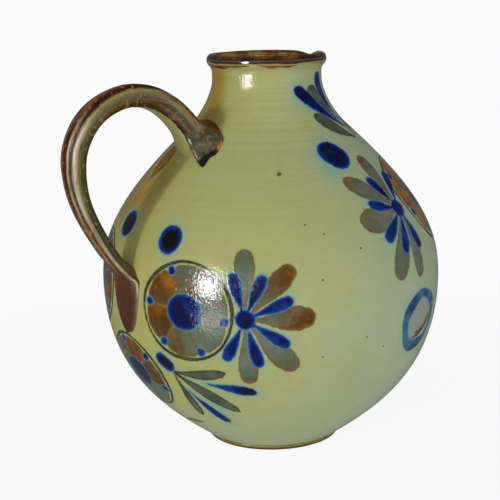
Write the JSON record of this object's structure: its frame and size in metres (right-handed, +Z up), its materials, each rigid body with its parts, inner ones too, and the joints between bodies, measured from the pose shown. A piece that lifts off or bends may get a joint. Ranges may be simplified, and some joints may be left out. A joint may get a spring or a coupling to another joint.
{
  "type": "stoneware jug",
  "caption": "Round-bellied stoneware jug with a low foot, a short neck, a rolled rim with a pouring lip and a ribbed strap handle, painted with folk flowers under a celadon glaze.",
  "frame": {"origin": "on the jug's axis, in the plane that the foot stands on", "axes": "+Z up along the jug's axis, handle toward -X, pouring lip toward +X"},
  "size_m": [0.2484, 0.209, 0.2399],
  "materials": {
    "celadon_glaze": "glossy celadon glaze, olive where it lies thick",
    "iron_glaze": "glossy iron-brown glaze, breaking to olive and tan",
    "bare_clay": "bare fired stoneware, matt, wiped with brown slip"
  },
  "bodies": {
    "root": {"foot_ring": "bare_clay", "belly": "celadon_glaze", "shoulder": "celadon_glaze", "neck": "celadon_glaze", "rim": "iron_glaze", "handle_collar": "iron_glaze", "handle_strap": "iron_glaze", "handle_tongue": "iron_glaze"}
  },
  "joints": []
}
